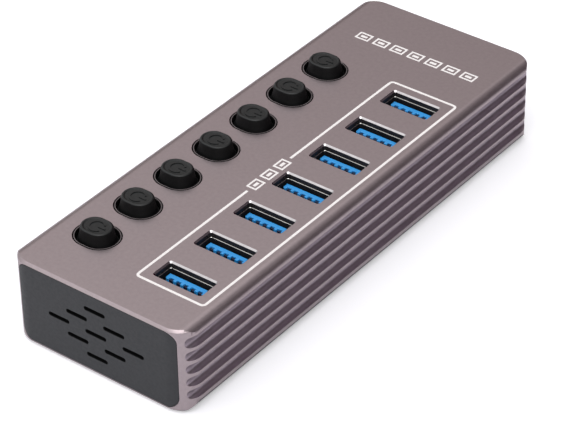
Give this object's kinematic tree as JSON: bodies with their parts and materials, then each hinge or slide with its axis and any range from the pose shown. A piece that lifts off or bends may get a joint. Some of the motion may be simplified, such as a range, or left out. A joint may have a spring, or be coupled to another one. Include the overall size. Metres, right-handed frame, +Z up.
{
  "type": "usb hub",
  "caption": "Desktop USB hub: grooved aluminium tube on feet, upright USB-A ports in a row, a push switch beside each port, vented plastic end.",
  "frame": {"origin": "centre of the hub's footprint, on the surface that its feet stand on", "axes": "+Y along the hub from the vented end to the cable end, +X across it from the buttons to the ports, +Z up"},
  "size_m": [0.05, 0.1352, 0.0252],
  "materials": {
    "anodised": "bead-blasted, mauve-grey anodised",
    "black_plastic": "dark grey, fine moulded texture",
    "button_black": "black, satin",
    "blue_plastic": "light blue, as moulded",
    "socket_steel": "nickel-plated",
    "board_green": "green solder mask",
    "component_black": "black moulding",
    "can_metal": "bare can",
    "rubber": "black, matte"
  },
  "bodies": {
    "hub": {"housing": "anodised", "vented_end_cap": "black_plastic", "cable_end_cap": "black_plastic", "main_board": "board_green", "button_guide": "button_black", "port_shell_1": "socket_steel", "port_shell_2": "socket_steel", "port_shell_3": "socket_steel", "port_shell_4": "socket_steel", "port_shell_5": "socket_steel", "port_shell_6": "socket_steel", "port_shell_7": "socket_steel", "port_tongue_1": "blue_plastic", "port_tongue_2": "blue_plastic", "port_tongue_3": "blue_plastic", "port_tongue_4": "blue_plastic", "port_tongue_5": "blue_plastic", "port_tongue_6": "blue_plastic", "port_tongue_7": "blue_plastic", "switch_body_1": "component_black", "switch_body_2": "component_black", "switch_body_3": "component_black", "switch_body_4": "component_black", "switch_body_5": "component_black", "switch_body_6": "component_black", "switch_body_7": "component_black", "upstream_shell": "socket_steel", "upstream_insert": "blue_plastic", "power_jack_body": "component_black", "power_jack_pin": "socket_steel", "hub_chip_1": "component_black", "hub_chip_2": "component_black", "crystal": "can_metal", "inductor": "component_black", "regulator": "component_black", "capacitor_1": "can_metal", "capacitor_2": "can_metal", "foot_1": "rubber", "foot_2": "rubber", "foot_3": "rubber", "foot_4": "rubber"},
    "button_1": {"button_1": "button_black", "switch_plunger_1": "component_black"},
    "button_2": {"button_2": "button_black", "switch_plunger_2": "component_black"},
    "button_3": {"button_3": "button_black", "switch_plunger_3": "component_black"},
    "button_4": {"button_4": "button_black", "switch_plunger_4": "component_black"},
    "button_5": {"button_5": "button_black", "switch_plunger_5": "component_black"},
    "button_6": {"button_6": "button_black", "switch_plunger_6": "component_black"},
    "button_7": {"button_7": "button_black", "switch_plunger_7": "component_black"}
  },
  "joints": [
    {"name": "button_1_press", "type": "slide", "parent": "hub", "child": "button_1", "axis": [0, 0, -1], "range_m": [0, 0.0015], "stiffness_N_per_m": 500, "springref_m": -0.0008},
    {"name": "button_2_press", "type": "slide", "parent": "hub", "child": "button_2", "axis": [0, 0, -1], "range_m": [0, 0.0015], "stiffness_N_per_m": 500, "springref_m": -0.0008},
    {"name": "button_3_press", "type": "slide", "parent": "hub", "child": "button_3", "axis": [0, 0, -1], "range_m": [0, 0.0015], "stiffness_N_per_m": 500, "springref_m": -0.0008},
    {"name": "button_4_press", "type": "slide", "parent": "hub", "child": "button_4", "axis": [0, 0, -1], "range_m": [0, 0.0015], "stiffness_N_per_m": 500, "springref_m": -0.0008},
    {"name": "button_5_press", "type": "slide", "parent": "hub", "child": "button_5", "axis": [0, 0, -1], "range_m": [0, 0.0015], "stiffness_N_per_m": 500, "springref_m": -0.0008},
    {"name": "button_6_press", "type": "slide", "parent": "hub", "child": "button_6", "axis": [0, 0, -1], "range_m": [0, 0.0015], "stiffness_N_per_m": 500, "springref_m": -0.0008},
    {"name": "button_7_press", "type": "slide", "parent": "hub", "child": "button_7", "axis": [0, 0, -1], "range_m": [0, 0.0015], "stiffness_N_per_m": 500, "springref_m": -0.0008}
  ]
}
